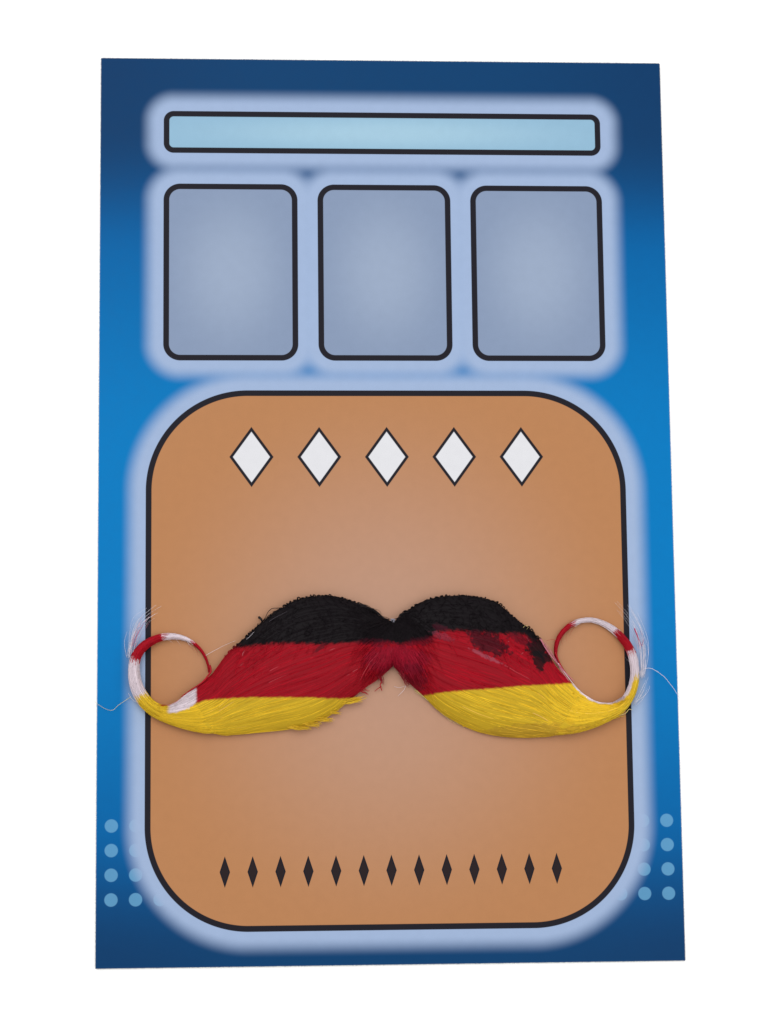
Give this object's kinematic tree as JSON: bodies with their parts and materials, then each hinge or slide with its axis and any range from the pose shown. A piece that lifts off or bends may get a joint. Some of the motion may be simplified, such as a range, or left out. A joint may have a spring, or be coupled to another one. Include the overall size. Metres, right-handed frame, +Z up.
{
  "type": "fake moustache on a backing card",
  "caption": "Costume handlebar moustache of dyed hair in black, red and yellow bands with curled ends, stuck on a flat blue backing card.",
  "frame": {"origin": "middle of the card's back face, which lies on the surface", "axes": "+X across the card to the right, +Y towards the card's top edge, +Z up out of its printed face"},
  "size_m": [0.17, 0.27, 0.0085],
  "materials": {
    "printed_card": "satin coated print on white card",
    "adhesive": "milky double-sided tape",
    "net": "fine knotted net",
    "edging": "knotted dark thread",
    "hair": "combed hair, spray-dyed black, red and yellow over white"
  },
  "bodies": {
    "root": {"card": "printed_card", "adhesive_strip": "adhesive", "net_base": "net", "left_wing": "hair", "left_curl": "hair", "left_edging": "edging", "right_wing": "hair", "right_curl": "hair", "right_edging": "edging"}
  },
  "joints": []
}
